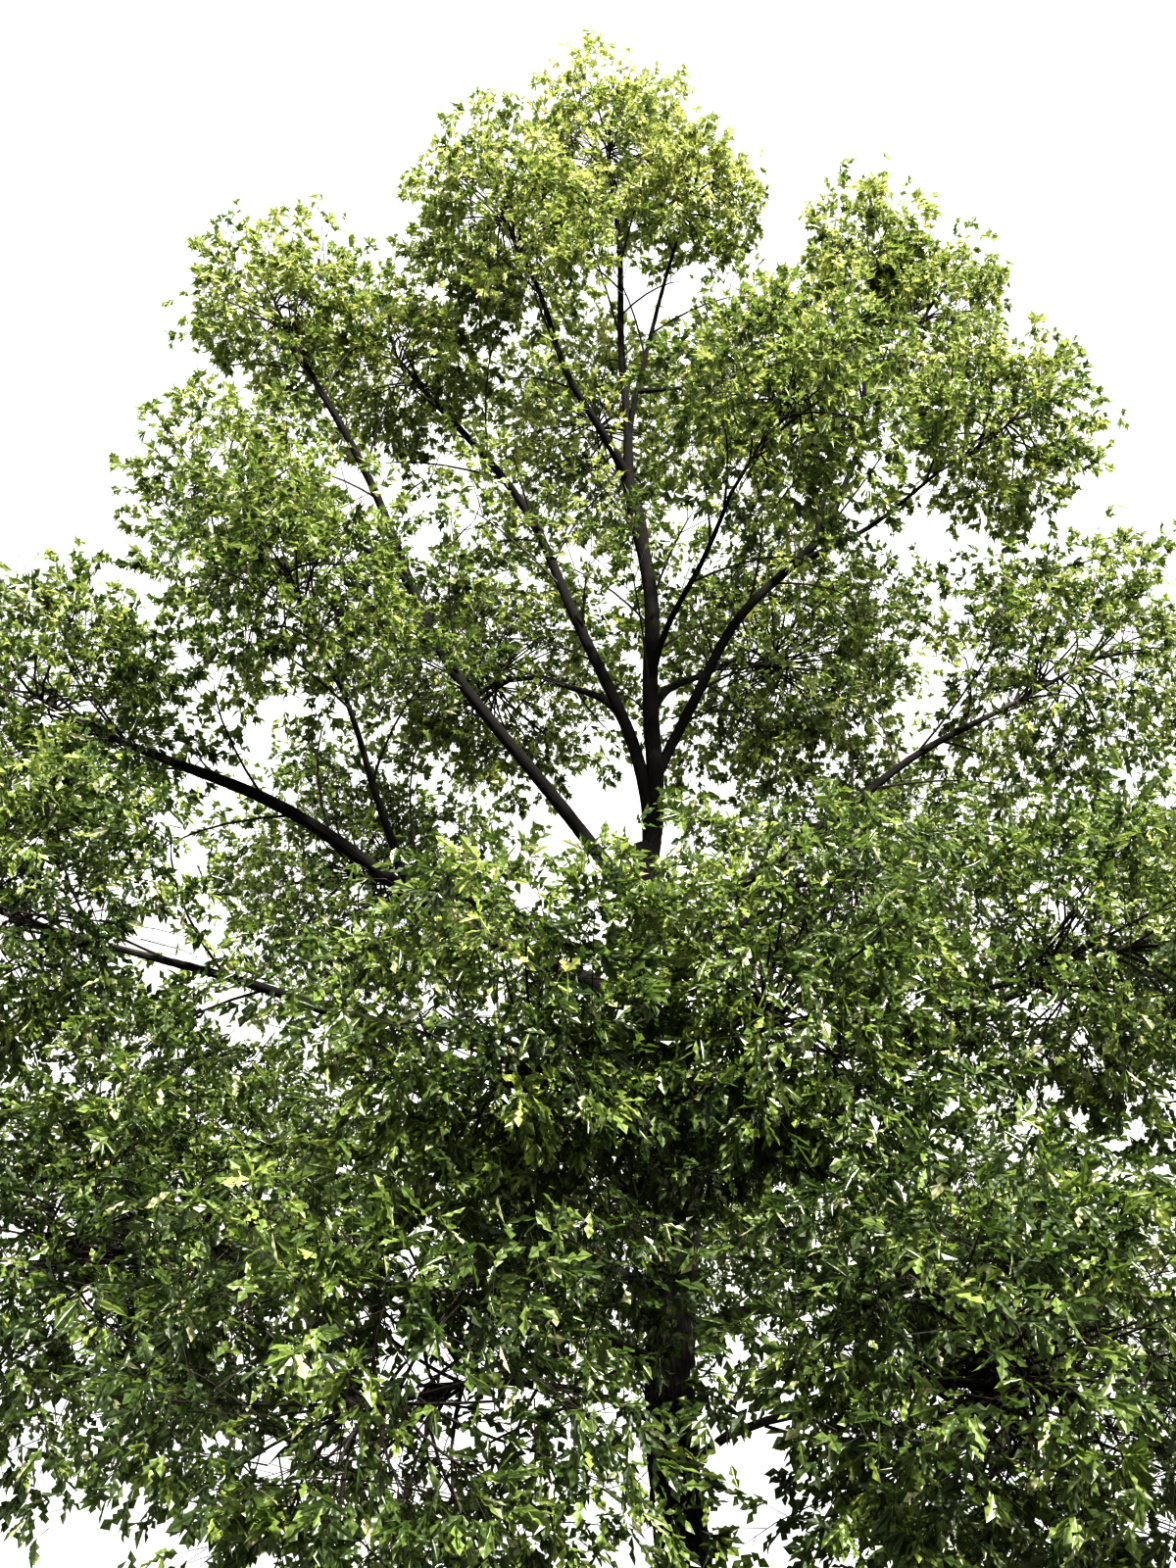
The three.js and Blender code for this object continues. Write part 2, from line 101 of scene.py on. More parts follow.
# The limbs. Each leaves the limb named by on, at that share of its length, and heads for the middle of its
# foliage, or for its own tip where it bears none. Bearings are seen from above, with 0 to the viewer's right
# and 90 away from the viewer. A bow lifts the middle of the limb, and width is its thickness at its foot.
# Spread and tall are half the size of its foliage, and full is how dense it is beside the rest.
LIMBS = [
    dict(name="leader", on="trunk", at=0.975, bearing=180, reach=0.45, height=15.0, bow=0.22,
        width=0.2),
    dict(name="left_stem", on="trunk", at=0.965, bearing=170, reach=3.55, height=17.4, bow=0.7,
        width=0.16, spread=1.75, tall=1.8),
    dict(name="right_bough", on="leader", at=0.04, bearing=0, reach=2.05, height=14.1, bow=0.5,
        width=0.13),
    dict(name="left_high_bough", on="trunk", at=0.925, bearing=186, reach=5.0, height=17.2,
        bow=-0.35, width=0.16, spread=1.5, tall=1.6),
    dict(name="left_shoulder_bough", on="left_high_bough", at=0.52, bearing=190, reach=5.2,
        height=13.9, bow=0.25, width=0.08, spread=1.5, tall=1.5, full=0.85),
    dict(name="leader_left", on="leader", at=0.975, bearing=211, reach=2.35, height=18.1, bow=-0.1,
        width=0.11, spread=1.5, tall=1.9, full=1.35),
    dict(name="leader_middle", on="leader", at=0.985, bearing=170, reach=0.65, height=21.0,
        bow=0.05, width=0.115, spread=1.45, tall=2.1, full=1.3),
    dict(name="leader_right", on="leader", at=0.95, bearing=305, reach=0.8, height=19.2, bow=0.25,
        width=0.08, spread=1.05, tall=1.85, full=1.2),
    dict(name="leader_side", on="leader_right", at=0.32, bearing=20, reach=1.5, height=17.0, bow=0,
        width=0.06, spread=1.4, tall=1.6),
    dict(name="leader_back", on="leader", at=0.75, bearing=108, reach=2.6, height=17.9, bow=0.3,
        width=0.09, spread=2.0, tall=2.1),
    dict(name="leader_front", on="leader", at=0.42, bearing=295, reach=2.8, height=13.7, bow=0.3,
        width=0.08, spread=1.7, tall=1.5, full=1.4),
    dict(name="right_upper", on="right_bough", at=0.975, bearing=0, reach=2.95, height=18.6,
        bow=-0.2, width=0.08, spread=1.1, tall=1.95),
    dict(name="right_outer", on="right_bough", at=0.95, bearing=4, reach=3.7, height=18.0,
        bow=0.25, width=0.08, spread=1.3, tall=1.9),
    dict(name="right_side", on="right_bough", at=0.86, bearing=353, reach=4.2, height=15.2,
        bow=-0.1, width=0.07, spread=1.5, tall=1.5, full=1.3),
    dict(name="back_left_high", on="left_stem", at=0.22, bearing=127, reach=3.9, height=13.8,
        bow=0.3, width=0.1, spread=2.6, tall=2.4, full=1.2),
    dict(name="back_right_high", on="leader", at=0.35, bearing=62, reach=3.7, height=14.2, bow=0.3,
        width=0.1, spread=2.6, tall=2.4, full=1.25),
    dict(name="right_middle", on="trunk", at=0.87, bearing=6, reach=4.9, height=12.3, bow=0.2,
        width=0.14, spread=2.2, tall=1.95),
    dict(name="back_left_middle", on="trunk", at=0.83, bearing=134, reach=5.6, height=11.2,
        bow=0.2, width=0.15, spread=2.8, tall=2.3, full=1.2),
    dict(name="back_right_middle", on="trunk", at=0.85, bearing=58, reach=5.3, height=11.5,
        bow=0.2, width=0.14, spread=2.8, tall=2.3),
    dict(name="left_broad_bough", on="trunk", at=0.79, bearing=192, reach=6.7, height=10.6,
        bow=0.1, width=0.21, spread=2.1, tall=1.65, full=1.25),
    dict(name="left_inner", on="left_broad_bough", at=0.42, bearing=206, reach=4.5, height=11.7,
        bow=0.1, width=0.1, spread=1.9, tall=1.6, full=1.2),
    dict(name="right_front", on="trunk", at=0.68, bearing=320, reach=4.5, height=7.1, bow=0.15,
        width=0.12, spread=2.2, tall=1.75, full=1.2),
    dict(name="left_low_bough", on="trunk", at=0.66, bearing=202, reach=6.7, height=7.7, bow=0.1,
        width=0.15, spread=2.2, tall=1.8, full=1.1),
    dict(name="right_low", on="trunk", at=0.62, bearing=354, reach=6.0, height=8.7, bow=0.2,
        width=0.15, spread=2.4, tall=1.95),
    dict(name="back_low", on="trunk", at=0.59, bearing=94, reach=5.9, height=7.2, bow=0.2,
        width=0.15, spread=2.8, tall=3.2, full=0.85),
    dict(name="front_right", on="trunk", at=0.57, bearing=276, reach=4.0, height=6.1, bow=0.2,
        width=0.11, spread=2.2, tall=1.9, full=1.5),
    dict(name="front_left", on="trunk", at=0.53, bearing=252, reach=4.8, height=5.6, bow=0.2,
        width=0.11, spread=2.2, tall=1.7, full=1.25),
    dict(name="back_left_low", on="trunk", at=0.49, bearing=153, reach=6.0, height=6.9, bow=0.25,
        width=0.14, spread=2.7, tall=2.2, full=0.85),
    dict(name="back_right_low", on="trunk", at=0.45, bearing=48, reach=5.9, height=6.0, bow=0.25,
        width=0.13, spread=2.7, tall=2.2, full=0.85),
]

# The lowest foliage grows on long thin stems of its own, straight from the trunk
LOW_STEMS = [
    dict(name="low_left", on="trunk", at=0.44, bearing=204, reach=5.6, height=4.7, bow=0.25,
        width=0.09, spread=2.4, tall=2.1, full=1.15),
    dict(name="skirt_left", on="trunk", at=0.38, bearing=244, reach=5.2, height=3.2, bow=0.25,
        width=0.08, spread=2.6, tall=1.75),
    dict(name="skirt_right", on="trunk", at=0.34, bearing=292, reach=5.1, height=3.3, bow=0.25,
        width=0.09, spread=2.6, tall=1.85, full=1.5),
]

# The stem and the first twigs of each mass of foliage, as in its solid. The longest spray is so many metres
# long. Its wide and widest are shares of its length: how wide it gets, and how far out it is widest.
SPACE_GAP = 0.06
STEM = dict(sinks=0.05, goes_on=0.2, tip_width=0.03, steps=3, low_steps=5)
LOW_TWIGS_FROM = 0.6
TWIG = dict(count=6, start=0.25, end=0.97, stride=0.618, reach=0.6, bend=0.4, sweep=0.15)
SPRAY = dict(fan=0.85, tip=0.985, most=2.4, wide=0.74, widest=0.56)
SPRAY_SEATS = (0.96, 0.8, 0.64)
FIRST_SEED = 20
GOLDEN_ANGLE = math.pi * (3 - math.sqrt(5))

# The finer twigs: more twigs by the same rule, by the area of the mass, more low in the crown than high up,
# and side twigs so many metres apart along every limb
FINE_TWIGS = dict(per_area=(7.3, 6.4), reach=(0.35, 0.72))
FINE_SPRAY_TIPS = (0.55, 1.02)
SIDE_TWIGS = dict(apart=0.42, start=0.3, trunk_start=0.3, trunk_stop=0.74, length=(0.9, 1.9), onward=0.7,
    rise=0.25, bend=0.2)
SIDE_SPRAY_LENGTH = (0.7, 1.5)

# All that grows stays in the masses or in the inner crown, a column round the trunk. Inside the crown there
# are fewer sprays: at and full are shares of the way out from its heart, and least is the share left there.
INNER_CROWN = dict(radius=3.4, top=17.5)
HEART = np.array([0.0, 0.0, 12.0])
OPEN_INSIDE = dict(least=0.55, at=0.4, full=0.75)

# Each spray has twiglets on both sides by turns, and a tuft of leaves toward the end of every twiglet.
# Lengths of a spray's own parts are shares of its length.
SPRAY_LIFT = 0.06
TWIGLETS = dict(count=8, start=0.18, forward=(0.1, 0.22), fullness=0.7, length=(0.8, 1.15), off_flat=0.12,
    tilt=1.0, last=0.08)
TUFT = dict(along=0.6, onward=0.8, spread=0.85, droop=0.42)
LEAF = dict(least=0.75, most=1.2, tilt=1.4, clear=0.03, overreach=1.03)

# The form of a leaf: its length, how many make a tuft, and the corners of one half of its outline as shares
# of its length. The corners of the other half sit a little farther up. Low leaves, seen from nearest, have
# one corner more to each half.
LOW_LEAF = dict(length=0.168, tuft=6, side=((0.19, 0.3), (0.045, 0.42), (0.2, 0.62)))
HIGH_LEAF = dict(length=0.165, tuft=7, side=((0.25, 0.44), (0.06, 0.54)))
LOBE_STAGGER = 0.1
LEAF_FOLD = 0.25
LEAF_CURL = 0.15
LEAVES_A_PIECE = 24000
LEAF_SEED = 7

# How far twigs stay from the limbs, which are followed in short steps
WOOD_STEP = 0.05
TWIG_CLEAR = 0.04
TWIG_TESTED_AT = 0.6

# How finely each kind of wood is drawn, and how thick the twigs are at their foot and tip
TRUNK_LOOK = dict(sides=12, ring_step=0.4, spacing=1.4, levels=4)
BOUGH_LOOK = dict(sides=8, ring_step=0.5, spacing=1.0, levels=3)
STEM_LOOK = dict(rings=12, sides=8)
TWIG_LOOK = dict(rings=6, sides=5, widths=(0.03, 0.013))
SPRAY_LOOK = dict(rings=3, sides=3, widths=(0.012, 0.005))
TWIGLET_LOOK = dict(sides=3, widths=(0.006, 0.0))
HELD_FOOT = 0.002
TIP_DOME = 0.6

# Bark: long blocks about 50 mm wide between furrows on the trunk, finer on the boughs, with a coarse grain.
# The seed sets how the furrows sway.
BARK = dict(block=0.05, block_tall=5, furrow=0.4, depth=0.024, level=0.7, least_share=0.3, sway=0.02,
    sway_scale=5.0, foot_fade=0.15, grain_mm=14, grain_depth=0.004, lichen_mm=420)
BARK_SEED = 3
BARK_COLOURS = ((0.15, "#030302"), (0.6, "#090807"), (1.0, "#14110E"))
LICHEN_SPREAD = ((0.56, "#000000"), (0.76, "#909090"))
LICHEN_GREY = "#5A5C54"
TWIG_COLOURS = ((0.3, "#14100C"), (0.7, "#29231D"))
TWIG_PATCH_MM = 300

# The greens of the leaves, from the deepest to the palest, then their underside, and the light through each.
# Dealt out by height, the darker ones also serve as painted shade low in the crown and the paler ones as
# painted sunlight at its top.
LEAF_GREENS = {
    "oak_leaf_deep": "#2E3B20",
    "oak_leaf_dark": "#3E4C2A",
    "oak_leaf_mid": "#526036",
    "oak_leaf_fresh": "#687744",
    "oak_leaf_bright": "#818E54",
    "oak_leaf_light": "#9CA566",
    "oak_leaf_sunlit": "#B7BB7C",
    "oak_leaf_underside": "#999B7C",
}
LEAF_GLOW = {
    "oak_leaf_deep": "#6C8448",
    "oak_leaf_dark": "#7E9552",
    "oak_leaf_mid": "#91A65E",
    "oak_leaf_fresh": "#A5B570",
    "oak_leaf_bright": "#B5C27C",
    "oak_leaf_light": "#C4CB8A",
    "oak_leaf_sunlit": "#D1D69A",
    "oak_leaf_underside": "#CACBAE",
}
LEAF_THIN = 0.3

# Which green a leaf has. A spray's place in the row of greens is a share of it, at the ground and at the top
# of the crown, with a draw. The rise toward the top is painted light: paler greens for the sunlit top,
# darker ones for the shaded foot of the crown. A leaf's own draw is in steps of the row, and a few show
# their underside.
GREENS_PAINTED_LIT_BY_HEIGHT = (0.16, 0.89)
PAINTED_LIGHT_RISE = 1.5
GREEN_DRAW = 0.17
LEAF_DRAW = 0.9
TURNED_SHARE = 0.03
TOP_OF_CROWN = 23.4
VEINS = dict(pairs=7, slant=0.7, depth=0.004, strength=0.6)

# The slots for foliage: each with the height that its masses end below, and the form of its leaves
LEAF_SLOTS = (
    ("leaves_low", 8.0, LOW_LEAF),
    ("leaves_middle", 15.0, HIGH_LEAF),
    ("leaves_high", 99.0, HIGH_LEAF),
)

# The floor, the light and the camera. The camera stands where the photo's perspective puts it, and looks up.
FLOOR_COLOUR = "#6E6D69"
FLOOR = dict(radius=120.0, corners=96, below=0.001)
SKY_COLOUR = "#FFFFFF"
SKY_STRENGTH = 0.9
SUN = dict(turn=(43, 21, 0), energy=11.0, softness=4.0, colour="#FFFAF2")
CAMERA = dict(place=(-0.95, -16.0, 1.6), pitch=29.0, film=36.0, focal_px=1650, image_height=1600,
    sees_to=500.0)

UP = np.array([0.0, 0.0, 1.0])


def unit(vectors):
    """The same vectors, each one long."""
    return vectors / np.maximum(np.linalg.norm(vectors, axis=-1, keepdims=True), 1e-12)


def seeded_draws(seed):
    """A row of even draws from 0 to 1, the same for the same seed."""
    span = 4294967296
    state = seed

    def draw():
        nonlocal state
        state = (state * 1664525 + 1013904223) % span
        return state / span

    return draw


def place_from(bearing, reach, height):
    turn = math.radians(bearing)
    return np.array([math.cos(turn) * reach, math.sin(turn) * reach, height])


class LimbRoute:
    """The line that a limb follows."""

    def __init__(self, start, end, bow, draw):
        self.start = start
        self.run = end - start
        self.bow = bow
        self.length = float(np.linalg.norm(self.run))
        along = unit(self.run)
        self.lift = unit(UP - along * along.dot(UP))
        self.side = np.cross(along, self.lift)
        self.phases = (draw(), draw())

    def point(self, share):
        t = np.asarray(share, float)
        amount = WANDER["share"] * self.length * np.sin(math.pi * t)
        waves = [amount * np.sin(2 * math.pi * (WANDER["waves"] * t + phase)) for phase in self.phases]
        lifted = self.bow * np.sin(math.pi * t**BOW_SKEW) + waves[0]
        return self.start + np.multiply.outer(t, self.run) + np.multiply.outer(lifted, self.lift) + (
            np.multiply.outer(waves[1], self.side)
        )


class StemCurve:
    """A smooth curve through points, by the rule of even steps between uneven points."""

    def __init__(self, points):
        self.points = [2 * points[0] - points[1], *points, 2 * points[-1] - points[-2]]

    def point(self, share):
        return np.array([self.at(s) for s in np.ravel(share)]).reshape(*np.shape(share), 3)

    def at(self, share):
        runs = len(self.points) - 3
        run = min(int(share * runs), runs - 1)
        w = share * runs - run
        a, b, c, d = self.points[run : run + 4]
        ab, bc, cd = (math.sqrt(np.linalg.norm(q - p)) for p, q in ((a, b), (b, c), (c, d)))
        leave = (b - a) / ab - (c - a) / (ab + bc) + (c - b) / bc
        arrive = (c - b) / bc - (d - b) / (bc + cd) + (d - c) / cd
        leave, arrive = leave * bc, arrive * bc
        squared = 3 * (c - b) - 2 * leave - arrive
        cubed = 2 * (b - c) + leave + arrive
        return b + w * leave + w * w * squared + w**3 * cubed


def tangent(curve, share):
    """The direction of a curve at a share of its length."""
    share = np.asarray(share, float)
    step = 1e-4
    return unit(curve.point(np.minimum(share + step, 1)) - curve.point(np.maximum(share - step, 0)))


def trunk_half_width(share):
    height = share * TRUNK["height"]
    taper = TRUNK["width"] + (TRUNK["fork_width"] - TRUNK["width"]) * share
    return (taper + FLARE["width"] * np.exp(-height / FLARE["height"])) / 2


def limb_half_width(limb, share):
    """An even taper from the foot, less where the limb ends in a fork, with a collar at the foot."""
    foot = limb["width"] / 2
    collar = 1 + COLLAR["share"] * np.exp(-share * limb["route"].length / COLLAR["length"])
    tip = foot * (TIP_SHARE if "spread" in limb else FORK_SHARE)
    return (foot + (tip - foot) * share) * collar


def plan_limb(row, parent, seed):
    """A limb's route, and where it stops on entering its foliage."""
    start = parent["route"].point(row["at"]) if parent else np.zeros(3)
    middle = place_from(row["bearing"], row["reach"], row["height"])
    route = LimbRoute(start, middle, row["bow"], seeded_draws(seed))
    enters = LIMB_ENTERS * row.get("spread", 0)
    stop = 1.0
    while np.linalg.norm(route.point(stop) - middle) < enters:
        stop -= STOP_STEP
    return dict(row, route=route, middle=middle, stop=stop)


def plan_tree():
    """Every limb and low stem by name, with the seed of its foliage."""
    plans = {"trunk": plan_limb(TRUNK, None, FIRST_SEED)}
    for i, row in enumerate([*LIMBS, *(dict(row, low=True) for row in LOW_STEMS)]):
        limb = plan_limb(row, plans[row["on"]], FIRST_SEED + i + 1)
        plans[row["name"]] = dict(limb, seed=100 * (FIRST_SEED + i))
    return plans


class Space:
    """The space that a mass keeps to: its ellipsoid, up to the planes that part it from its neighbours."""

    def __init__(self, limb, bearers):
        self.middle = limb["middle"]
        self.size = np.array([limb["spread"], limb["spread"], limb["tall"]])
        others = [other for other in bearers if other is not limb]
        away = np.array([other["middle"] for other in others]) - self.middle
        apart = np.linalg.norm(away, axis=1)
        own = limb["spread"] * limb["tall"]
        pull = own - np.array([other["spread"] * other["tall"] for other in others])
        self.normals = away / apart[:, None]
        self.limits = (apart**2 + pull) / (2 * apart) - SPACE_GAP / 2

    def edge(self, directions, share):
        """Places out along directions, at shares of the way to the edge of the space."""
        facing = directions @ self.normals.T
        exits = np.where(facing > 1e-6, self.limits / np.maximum(facing, 1e-6), np.inf).min(-1)
        exits = np.minimum(exits, 1 / np.linalg.norm(directions / self.size, axis=-1))
        return self.middle + directions * np.multiply(share, exits)[..., None]

    def within_reach(self, points):
        return np.linalg.norm((points - self.middle) / self.size, axis=-1) <= LEAF["overreach"]


def even_directions(count, turn):
    """Directions spread evenly over a ball, turned by a draw."""
    i = np.arange(count)
    z = 1 - (2 * i + 1) / count
    ring = np.sqrt(1 - z * z)
    angle = i * GOLDEN_ANGLE + turn
    return np.stack([np.cos(angle) * ring, np.sin(angle) * ring, z], -1)


def turned_about(vectors, axes, angles):
    """Vectors turned about axes that are one long."""
    cos, sin = np.cos(angles)[..., None], np.sin(angles)[..., None]
    along = (vectors * axes).sum(-1, keepdims=True)
    return vectors * cos + np.cross(axes, vectors) * sin + axes * along * (1 - cos)


def square_to(directions):
    """One direction square to each."""
    upright = np.abs(directions[..., 2:3]) >= 0.9
    return unit(np.cross(directions, np.where(upright, [1.0, 0.0, 0.0], UP)))


def plan_stem(limb):
    """The stem that carries a mass: on from the bough's tip, or out from the trunk, and past the middle."""
    route, low = limb["route"], limb.get("low", False)
    onward = tangent(route, 1.0) * STEM["goes_on"] * limb["spread"]
    first = 0.0 if low else limb["stop"]
    count = STEM["low_steps"] if low else STEM["steps"]
    points = list(route.point(first + (1 - first) * np.arange(count) / (count - 1)))
    points[0] = points[0] - tangent(route, first) * STEM["sinks"]
    return StemCurve([*points, limb["middle"] + onward])


def plan_twigs(limb, stem, space, draw, count, reaches):
    """Twigs spread evenly round a mass, each bent out from its stem: directions, fans and three points."""
    directions = even_directions(count, 2 * math.pi * draw())
    first = LOW_TWIGS_FROM if limb.get("low") else TWIG["start"]
    shares = first + (TWIG["end"] - first) * ((np.arange(count) * TWIG["stride"]) % 1)
    starts = stem.point(shares)
    bends = tangent(stem, shares) * TWIG["sweep"] * limb["spread"]
    ends = space.edge(directions, reaches)
    controls = starts + (ends - starts) * TWIG["bend"] + bends
    turns = np.array([2 * math.pi * draw() for _ in range(count)])
    fans = turned_about(square_to(directions), directions, turns)
    return directions, fans, np.stack([starts, controls, ends], 1)


def on_bends(bends, shares):
    """Places along curves of three points each, at one share or one for each curve."""
    s = np.broadcast_to(shares, bends.shape[:1])[:, None]
    return bends[:, 0] * (1 - s) ** 2 + bends[:, 1] * 2 * s * (1 - s) + bends[:, 2] * s * s


def fanned_out(directions, fans):
    """The seats of the sprays on their twigs, each with the ways that sprays head there."""
    for i, seat in enumerate(SPRAY_SEATS):
        turned = turned_about(fans, directions, np.full(len(fans), 2 * math.pi * i / len(SPRAY_SEATS)))
        yield seat, unit(directions + turned * SPRAY["fan"])


def plan_sprays(twigs, space, tips):
    """The sprays of every twig, fanned out round its direction, each with its tip near the space's edge."""
    directions, fans, bends = twigs
    found = []
    for i, (seat, headings) in enumerate(fanned_out(directions, fans)):
        roots = on_bends(bends, seat)
        reach = space.edge(headings, tips[:, i]) - roots
        length = np.linalg.norm(reach, axis=1, keepdims=True)
        found.append(np.stack([roots, roots + reach * np.minimum(1, SPRAY["most"] / length)], 1))
    return np.concatenate(found)


class LimbWood:
    """Where the wood of the limbs is, so that twigs and leaves stay clear of it."""

    def __init__(self, limbs):
        places, widths = [], []
        for limb in limbs:
            shares = np.linspace(0, 1, int(limb["route"].length / WOOD_STEP))
            places.append(limb["route"].point(shares * limb["stop"]))
            widths.append(wood_half_width(limb, shares))
        self.widths = np.concatenate(widths)
        places = np.concatenate(places)
        self.tree = kdtree.KDTree(len(places))
        for i, place in enumerate(places):
            self.tree.insert(place, i)
        self.tree.balance()

    def clear_of(self, points, margin):
        """Which of the points stand clear of all wood."""
        nearest = [self.tree.find(point)[1:] for point in points]
        return np.array([gap > self.widths[i] + margin for i, gap in nearest], bool)


def wood_half_width(limb, shares):
    if limb["name"] == "trunk":
        return trunk_half_width(shares)
    return limb_half_width(limb, shares)


def fine_growth(limb, space, dice):
    """All that grows on one limb's tip: its stem, its twigs as bends, and its sprays as straight runs."""
    stem = plan_stem(limb)
    draw = seeded_draws(limb["seed"])
    first = plan_twigs(limb, stem, space, draw, TWIG["count"], TWIG["reach"])
    sprays = [plan_sprays(first, space, np.full((TWIG["count"], len(SPRAY_SEATS)), SPRAY["tip"]))]
    low, high = FINE_TWIGS["per_area"]
    per_area = low + (high - low) * limb["height"] / TOP_OF_CROWN
    count = round(per_area * limb["spread"] * limb["tall"] * limb.get("full", 1))
    reaches = dice.uniform(*FINE_TWIGS["reach"], count)
    more = plan_twigs(limb, stem, space, draw, count, reaches)
    sprays.append(plan_sprays(more, space, dice.uniform(*FINE_SPRAY_TIPS, (count, len(SPRAY_SEATS)))))
    return dict(stem=stem, twigs=np.concatenate([first[2], more[2]]), sprays=np.concatenate(sprays))


def side_growth(limb, dice):
    """The side twigs along a limb, turned round it one after the other, with their sprays."""
    route = limb["route"]
    first, last = SIDE_TWIGS["start"], limb["stop"]
    if limb["name"] == "trunk":
        first, last = SIDE_TWIGS["trunk_start"], SIDE_TWIGS["trunk_stop"]
    count = round(route.length * (last - first) / SIDE_TWIGS["apart"])
    shares = first + (last - first) * (np.arange(count) + 0.5) / count
    ways = tangent(route, shares)
    out = turned_about(square_to(ways), ways, GOLDEN_ANGLE * np.arange(count) + dice.uniform(0, math.pi))
    directions = unit(out + ways * SIDE_TWIGS["onward"] + UP * SIDE_TWIGS["rise"])
    length = dice.uniform(*SIDE_TWIGS["length"], count)[:, None]
    starts = route.point(shares)
    ends = starts + directions * length
    controls = (starts + ends) / 2 + ways * SIDE_TWIGS["bend"] * length
    bends = np.stack([starts, controls, ends], 1)
    fans = turned_about(square_to(directions), directions, dice.uniform(0, 2 * math.pi, count))
    sprays = []
    for seat, headings in fanned_out(directions, fans):
        roots = on_bends(bends, seat)
        reach = headings * dice.uniform(*SIDE_SPRAY_LENGTH, count)[:, None]
        sprays.append(np.stack([roots, roots + reach], 1))
    return bends, np.concatenate(sprays)


def way_out(points, spaces):
    """How far out points are: 0 at the crown's heart, 1 on the outside of the farthest mass that way."""
    out = points - HEART
    middles = np.array([space.middle for space in spaces])
    sizes = np.array([space.size for space in spaces])
    seen = (HEART - middles) / sizes
    steps = out[:, None] / sizes
    square = (steps**2).sum(-1)
    half = (steps * seen).sum(-1)
    inside = half**2 - square * ((seen**2).sum(-1) - 1)
    exits = np.where(inside > 0, (np.sqrt(np.maximum(inside, 0)) - half) / square, 0)
    return 1 / np.maximum(exits.max(1), 1)


def light_enough(points, spaces, dice):
    """Which of the points have light enough for leaves: all near the crown's outside, fewer inside."""
    rise = (way_out(points, spaces) - OPEN_INSIDE["at"]) / (OPEN_INSIDE["full"] - OPEN_INSIDE["at"])
    return dice.uniform(0, 1, len(points)) < np.clip(rise, OPEN_INSIDE["least"], 1)


def clear_growth(bends, runs, spaces, wood, dice):
    """Only the twigs and sprays that stay in the crown, in its light and clear of the wood."""
    bends = bends[within_crown(spaces, bends[:, 2])]
    tested = on_bends(bends, TWIG_TESTED_AT)
    bends = bends[wood.clear_of(tested, TWIG_CLEAR) & wood.clear_of(bends[:, 2], TWIG_CLEAR)]
    runs = runs[within_crown(spaces, runs[:, 1])]
    runs = runs[light_enough(runs[:, 1], spaces, dice)]
    runs = runs[wood.clear_of(runs.mean(1), TWIG_CLEAR) & wood.clear_of(runs[:, 1], TWIG_CLEAR)]
    return bends, runs


def spray_bends(runs):
    """The axis of each spray, lifted a little in its middle, so that its tip hangs."""
    length = np.linalg.norm(runs[:, 1] - runs[:, 0], axis=1, keepdims=True)
    return np.stack([runs[:, 0], runs.mean(1) + UP * SPRAY_LIFT * length, runs[:, 1]], 1)


def spray_half_width(shares):
    """The half width of a spray's outline, as a share of its length: none at either end."""
    widest = SPRAY["widest"]
    rise = np.where(shares < widest, shares / widest, (1 - shares) / (1 - widest))
    return SPRAY["wide"] / 2 * np.clip(rise, 0, 1) ** TWIGLETS["fullness"]


def plan_twiglets(bends, dice):
    """Twiglets on both sides of each spray by turns, and one on from its tip: roots, tips and sprays."""
    runs = bends[:, 2] - bends[:, 0]
    length = np.linalg.norm(runs, axis=1, keepdims=True)
    along = runs / length
    flat = turned_about(square_to(along), along, dice.uniform(-1, 1, len(bends)) * TWIGLETS["tilt"])
    through = np.cross(along, flat)
    roots, tips = [], []
    for i in range(TWIGLETS["count"]):
        share = TWIGLETS["start"] + (1 - TWIGLETS["start"]) * i / TWIGLETS["count"]
        leans = dice.uniform(*TWIGLETS["forward"], len(bends))
        side = (-1) ** i * spray_half_width(share + leans) * dice.uniform(*TWIGLETS["length"], len(bends))
        off = dice.uniform(-1, 1, len(bends)) * TWIGLETS["off_flat"]
        root = on_bends(bends, share)
        sideways = flat * side[:, None] + through * off[:, None] + along * leans[:, None]
        roots.append(root)
        tips.append(root + sideways * length)
    roots.append(bends[:, 2])
    tips.append(bends[:, 2] + along * length * TWIGLETS["last"])
    sprays = np.tile(np.arange(len(bends)), len(roots))
    return dict(roots=np.concatenate(roots), tips=np.concatenate(tips), sprays=sprays)


def plan_leaves(twiglets, form, spray_greens, dice):
    """A tuft of leaves toward each twiglet's end: every leaf's foot, direction, face, length and green."""
    roots, tips, sprays = (np.repeat(twiglets[key], form["tuft"], 0) for key in ("roots", "tips", "sprays"))
    count = len(roots)
    shares = 1 - TUFT["along"] * dice.uniform(0, 1, count) ** 2
    loose = unit(dice.normal(size=(count, 3)))
    direction = unit(unit(tips - roots) * TUFT["onward"] + loose * TUFT["spread"] - UP * TUFT["droop"])
    face = UP + unit(dice.normal(size=(count, 3))) * LEAF["tilt"]
    face = unit(face - direction * (face * direction).sum(-1, keepdims=True))
    length = form["length"] * dice.uniform(LEAF["least"], LEAF["most"], count)
    own = np.round(spray_greens[sprays] + dice.normal(size=count) * LEAF_DRAW)
    turned = dice.uniform(0, 1, count) < TURNED_SHARE
    green = np.where(turned, len(LEAF_GREENS) - 1, np.clip(own, 0, len(LEAF_GREENS) - 2)).astype(int)
    return dict(feet=roots + (tips - roots) * shares[:, None], direction=direction, face=face, length=length,
        green=green)


